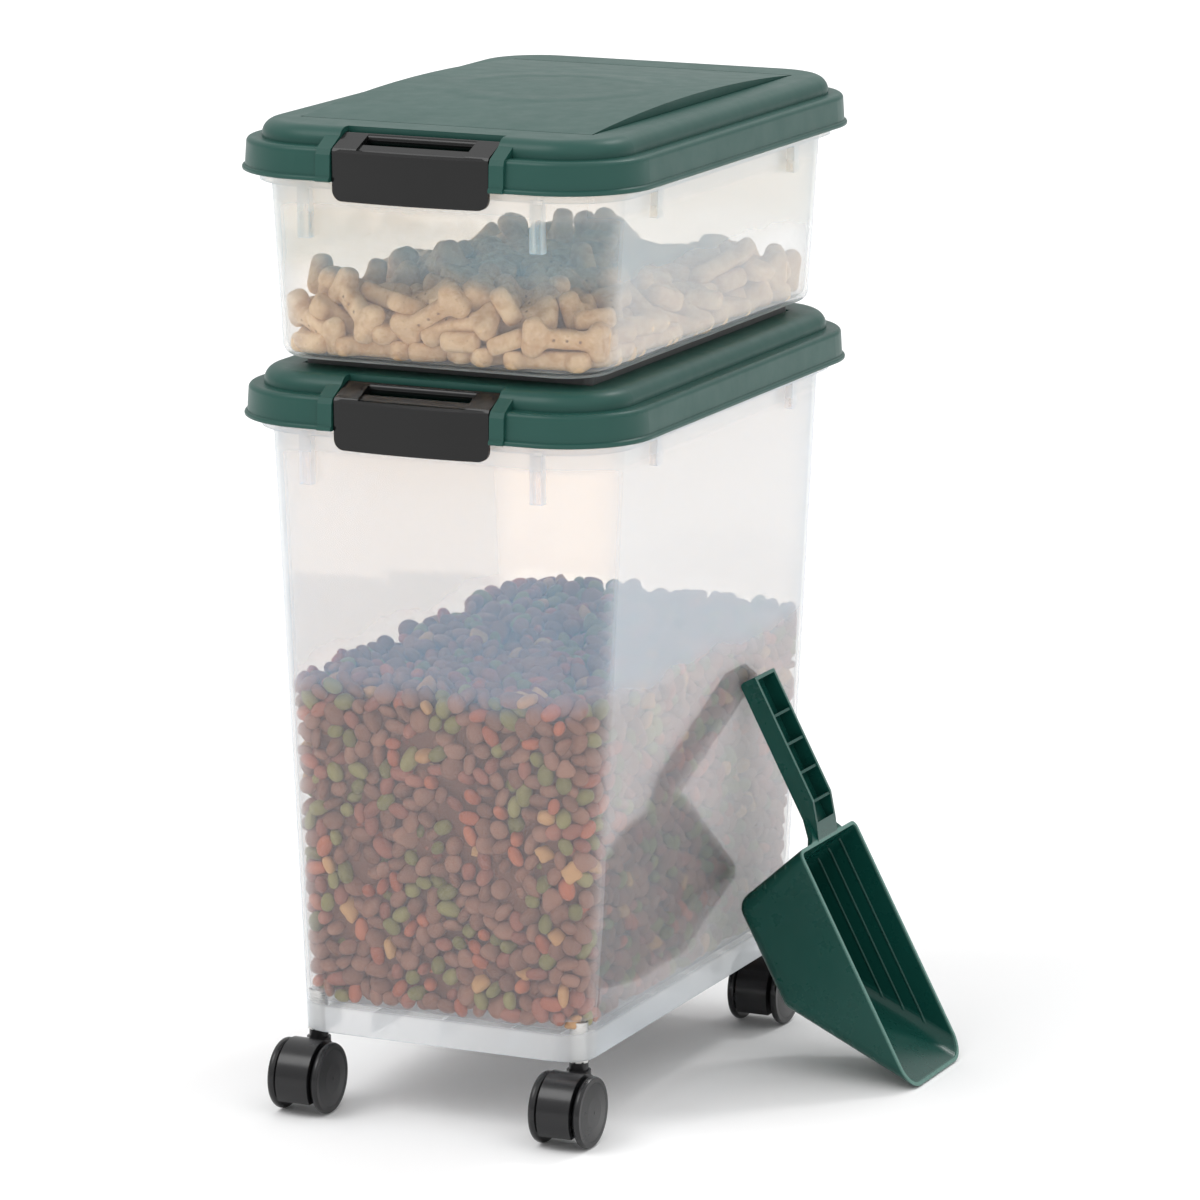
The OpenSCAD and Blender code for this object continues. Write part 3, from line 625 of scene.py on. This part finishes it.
def bone_outline():
    """Half of the outline on the +Y side, from one end's middle to the other's, with its outward normals."""
    neck = SHAFT - 0.4 * MM
    points, normals = [], []
    # The lobe's arc runs from the end's notch round to the neck, and a fillet blends it into the shaft.
    fillet = 5 * MM
    rise = BONE_ACROSS - (neck + fillet)
    run = math.sqrt((LOBE + fillet) ** 2 - rise ** 2)
    lobe = np.array([BONE_ALONG, BONE_ACROSS])
    hollow = np.array([BONE_ALONG - run, neck + fillet])
    meet = math.atan2(hollow[1] - lobe[1], hollow[0] - lobe[0])
    notch = math.radians(28) - math.acos(BONE_ACROSS / LOBE)
    for k in range(10):
        angle = notch + (meet - notch) * k / 9
        normal = np.array([math.cos(angle), math.sin(angle)])
        points.append(lobe + LOBE * normal)
        normals.append(normal)
    for k in (1, 2, 3):
        angle = meet + math.pi + (math.pi / 2 - meet) * k / 3
        direction = np.array([math.cos(angle), math.sin(angle)])
        points.append(hollow + fillet * direction)
        normals.append(-direction)
    points.append(np.array([0.0, neck]))
    normals.append(np.array([0.0, 1.0]))
    right_p, right_n = np.array(points), np.array(normals)
    left_p, left_n = right_p[-2::-1] * [-1, 1], right_n[-2::-1] * [-1, 1]
    return np.vstack([right_p, left_p]), np.vstack([right_n, left_n])


def bone_shape():
    """A bone biscuit: the outline in rings that round its edges, closed by strips across its flat faces."""
    upper_p, upper_n = bone_outline()
    outline = np.vstack([upper_p, upper_p[::-1] * [1, -1]])
    normals = np.vstack([upper_n, upper_n[::-1] * [1, -1]])
    around, side = len(outline), len(upper_p)
    half_thick = 6.0 * MM
    # How far each ring is inside the outline in mm, and its height as a share of half the thickness
    profile = [(4.6, 1.0), (2.6, 0.96), (1.0, 0.76), (0.1, 0.36)]
    rings = profile + [(inset, -height) for inset, height in reversed(profile)]
    points = [np.column_stack([outline - normals * inset * MM, np.full(around, height * half_thick)])
              for inset, height in rings]
    faces = []
    for ring in range(len(rings) - 1):
        for k in range(around):
            following = (k + 1) % around
            faces.append([ring * around + k, (ring + 1) * around + k,
                          (ring + 1) * around + following, ring * around + following])
    last = (len(rings) - 1) * around
    for k in range(side - 1):
        mirror = around - 1 - k
        faces.append([k, k + 1, mirror - 1, mirror])
        faces.append([last + mirror, last + mirror - 1, last + k + 1, last + k])
    return np.vstack(points), np.array(faces)


def biscuit_material():
    """Baked biscuit with crumbs, toasted patches, tiny dark dots of painted shade for pin holes, and a row of
    docker holes along the bone's flat faces, bumped in and darkened with painted shade.
    """
    m = Material("baked_biscuit")
    tone = m.own("tone", "Fac")
    own = m.own("own_place")
    colour = m.blend(tone, rgb(0.63, 0.43, 0.24), rgb(0.76, 0.57, 0.35))
    toast = m.remap(m.noise(9 * MM, detail=4, at=own), 0.42, 0.66, 0, 0.75)
    colour = m.blend(toast, colour, rgb(0.50, 0.285, 0.125))
    pale = m.remap(m.noise(3 * MM, detail=5, at=own), 0.5, 0.75, 0, 0.45)
    colour = m.blend(pale, colour, rgb(0.82, 0.64, 0.42))
    grain = m.noise(1.3 * MM, detail=5, roughness=0.7, at=own)
    # Painted shade: tiny dark dots stand for the shade inside pin holes.
    dots = m.remap(m.node("TexVoronoi", {"Vector": own, "Scale": 1 / (3.2 * MM)}).outputs["Distance"],
                   0.10, 0.16, 1, 0)
    colour = m.blend(m.math("MULTIPLY", dots, 0.55), colour, rgb(0.22, 0.12, 0.06))
    along, across, _ = m.node("SeparateXYZ", {"Vector": m.own("on_shape")}).outputs[:3]
    nearest = m.node("CombineXYZ", {"X": m.math("PINGPONG", m.math("ABSOLUTE", along), 4 * MM), "Y": across})
    hole_and_shade = m.remap(m.node("VectorMath", {0: nearest.outputs[0]}, operation="LENGTH").outputs["Value"],
                   0.6 * MM, 1.1 * MM, 1, 0, smooth=True)
    hole_and_shade = m.math("MULTIPLY", hole_and_shade, m.remap(m.math("ABSOLUTE", along), 9.5 * MM, 10 * MM, 1, 0))
    # Painted shade: the docker holes are only bumped in, so the darkness inside them is painted on.
    colour = m.blend(m.math("MULTIPLY", hole_and_shade, 0.7), colour, rgb(0.20, 0.11, 0.055))
    normal = m.bump(grain, 0.40 * MM)
    normal = m.bump(m.noise(6 * MM, detail=2, at=own), 0.7 * MM, normal)
    normal = m.bump(m.math("SUBTRACT", 1.0, hole_and_shade), 0.9 * MM, normal)
    links = {"Base Color": colour, "Roughness": m.remap(grain, 0.2, 0.8, 0.6, 0.88), "Normal": normal}
    return m.finish(m.node("BsdfPrincipled", links).outputs[0])


def tip_in_biscuits():
    """Fills the treat box with loose biscuits."""
    room = Room("biscuits")
    places, turns = settle_biscuits(room)
    random = np.random.default_rng(BISCUIT_SEED + 1)
    shape, faces = bone_shape()
    scales = 1 + 0.03 * random.normal(size=(len(places), 3)).clip(-1.5, 1.5)
    tones = random.random(len(places))
    material = biscuit_material()
    portion = MOST_TRIANGLES // (2 * len(faces))
    for part, start in enumerate(range(0, len(places), portion)):
        some = slice(start, start + portion)
        joined_copies(f"biscuits_loose_{part + 1}", shape, faces, places[some], turns[some], scales[some],
                      tones[some], material, "treat_box", "biscuits")


# ---------------------------------------------------------------- materials on the CAD nodes

treat_low, treat_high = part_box("biscuits")
DEEP_GREEN, FRESH_GREEN = rgb(0.010, 0.064, 0.051), rgb(0.013, 0.072, 0.058)
green = moulded("green_polypropylene", DEEP_GREEN, FRESH_GREEN, 0.40)
arched_green = moulded("green_polypropylene_arched", DEEP_GREEN, FRESH_GREEN, 0.40,
                       ripple=(MIDDLE[0], MIDDLE[1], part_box("treat_box_lid")[1].z))
# The scoop's green carries painted highlights on its mouth's edge, its handle's rib edges and its level lines.
scoop_green = moulded("green_polypropylene_scoop", rgb(0.004, 0.054, 0.042), rgb(0.006, 0.062, 0.049), 0.28,
                      ior=1.35, lines_and_highlights=scoop_lines_and_highlights)
charcoal = moulded("charcoal_latch_plastic", rgb(0.0060, 0.0060, 0.0060), rgb(0.0080, 0.0080, 0.0080), 0.15,
                    ior=1.37)
black = moulded("black_caster_nylon", rgb(0.0085, 0.0085, 0.0095), rgb(0.011, 0.011, 0.012), 0.24, ior=1.45)
slab_grey = moulded("dark_grey_base_plastic", rgb(0.085, 0.088, 0.090), rgb(0.100, 0.103, 0.105), 0.45)
steel = machined("plated_steel", rgb(0.62, 0.62, 0.61), 0.28)
rubber = soft_rubber("seal_rubber")
NODE_MATERIALS = {
    "bin_body": clear_plastic("clear_polypropylene_bin", kibble_low.z, kibble_high.z,
                              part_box("bin_body")[1].z - 30 * MM, rgb(0.090, 0.150, 0.215)),
    "treat_box_body": clear_plastic("clear_polypropylene_treat_box", treat_low.z, treat_high.z - 8 * MM,
                                    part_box("treat_box_body")[1].z - 30 * MM, rgb(0.085, 0.148, 0.190)),
    "treat_box_base": slab_grey,
}
# By the start of the name. The first that fits is taken, so longer ones come first.
STARTS = {
    "bin_lid_gasket": rubber, "treat_box_lid_gasket": rubber,
    "bin_latch_pin": steel, "treat_box_latch_pin": steel,
    "bin_hinge_pins": steel, "treat_box_hinge_pins": steel,
    "bin_latch": charcoal, "treat_box_latch": charcoal, "bin_lid": green, "treat_box_lid": arched_green,
    "socket_": steel, "stem_": steel, "axle_": steel, "hood_": black, "wheel_": black, "scoop": scoop_green,
}


def dress_nodes():
    """Gives every CAD node its finished material."""
    for name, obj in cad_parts.items():
        start = next((s for s in STARTS if name.startswith(s)), None)
        material = NODE_MATERIALS.get(name) or STARTS.get(start)
        if material is None:
            continue
        for slot in obj.material_slots:
            slot.material = material


# ---------------------------------------------------------------- floor, lights and camera


def add_floor():
    """A wide pale floor just under the wheels."""
    half_side = 30.0
    mesh = bpy.data.meshes.new("studio_floor")
    z = cad_box[0].z - 0.2 * MM
    corners = [(x * half_side, y * half_side, z) for x, y in ((-1, -1), (1, -1), (1, 1), (-1, 1))]
    mesh.from_pydata(corners, [], [(0, 1, 2, 3)])
    floor = bpy.data.objects.new("studio_floor", mesh)
    bpy.context.scene.collection.objects.link(floor)
    m = Material("pale_floor")
    colour = m.blend(m.noise(0.5), rgb(0.93, 0.93, 0.93), rgb(0.95, 0.95, 0.95))
    mesh.materials.append(m.finish(m.node("BsdfDiffuse", {"Color": colour}).outputs[0]))


def add_lights():
    """A white room, brighter overhead than round the horizon, with two broad suns from the front and a
    narrower one from behind."""
    world = bpy.data.worlds.new("white_studio")
    world.use_nodes = True
    tree = world.node_tree
    nodes, links = tree.nodes, tree.links
    background = nodes["Background"]
    background.inputs["Color"].default_value = rgb(1, 1, 1)
    place = nodes.new("ShaderNodeTexCoord")
    split = nodes.new("ShaderNodeSeparateXYZ")
    links.new(place.outputs["Generated"], split.inputs[0])
    ramp = nodes.new("ShaderNodeMapRange")
    ramp.interpolation_type = "SMOOTHSTEP"
    for key, value in (("From Min", 0.0), ("From Max", 0.8), ("To Min", 0.64), ("To Max", 1.06)):
        ramp.inputs[key].default_value = value
    links.new(split.outputs["Z"], ramp.inputs["Value"])
    links.new(ramp.outputs[0], background.inputs["Strength"])
    bpy.context.scene.world = world
    for name, strength, angle, direction in (
        ("key", 0.80, 30, (0.45, 0.60, -1.0)),
        ("fill", 0.20, 60, (-0.8, 0.5, -0.7)),
        ("edge", 0.50, 10, (-0.30, -0.85, -1.0)),
    ):
        light = bpy.data.lights.new(name, "SUN")
        light.energy = strength
        light.angle = math.radians(angle)
        lamp = bpy.data.objects.new(name, light)
        lamp.rotation_mode = "QUATERNION"
        lamp.rotation_quaternion = Vector(direction).to_track_quat("-Z", "Y")
        bpy.context.scene.collection.objects.link(lamp)


# A long lens in front of the latches, a little to their right and above them.
AZIMUTH, ELEVATION = math.radians(24.85), math.radians(12.05)
DISTANCE = 4.165
LENS = 191.8
AIM_HEIGHT = 0.3093
# The frame leaves room for the scoop, so the lens looks this much to the right of the bin's axis.
LOOK_RIGHT = math.radians(0.4285)


def add_camera():
    """The view of the photograph."""
    back = Vector((math.sin(AZIMUTH) * math.cos(ELEVATION), -math.cos(AZIMUTH) * math.cos(ELEVATION),
                   math.sin(ELEVATION)))
    data = bpy.data.cameras.new("camera")
    data.lens = LENS
    data.sensor_width = 36
    data.clip_end = 100
    camera = bpy.data.objects.new("camera", data)
    camera.location = Vector((*MIDDLE, AIM_HEIGHT)) + back * DISTANCE
    camera.rotation_mode = "QUATERNION"
    camera.rotation_quaternion = (-back).to_track_quat("-Z", "Y") @ Quaternion((0, 1, 0), -LOOK_RIGHT)
    bpy.context.scene.collection.objects.link(camera)
    bpy.context.scene.camera = camera


dress_nodes()
pour_kibble()
tip_in_biscuits()
add_floor()
add_lights()
add_camera()
bpy.context.scene.view_settings.view_transform = "Standard"
bpy.context.scene.cycles.transparent_max_bounces = 48
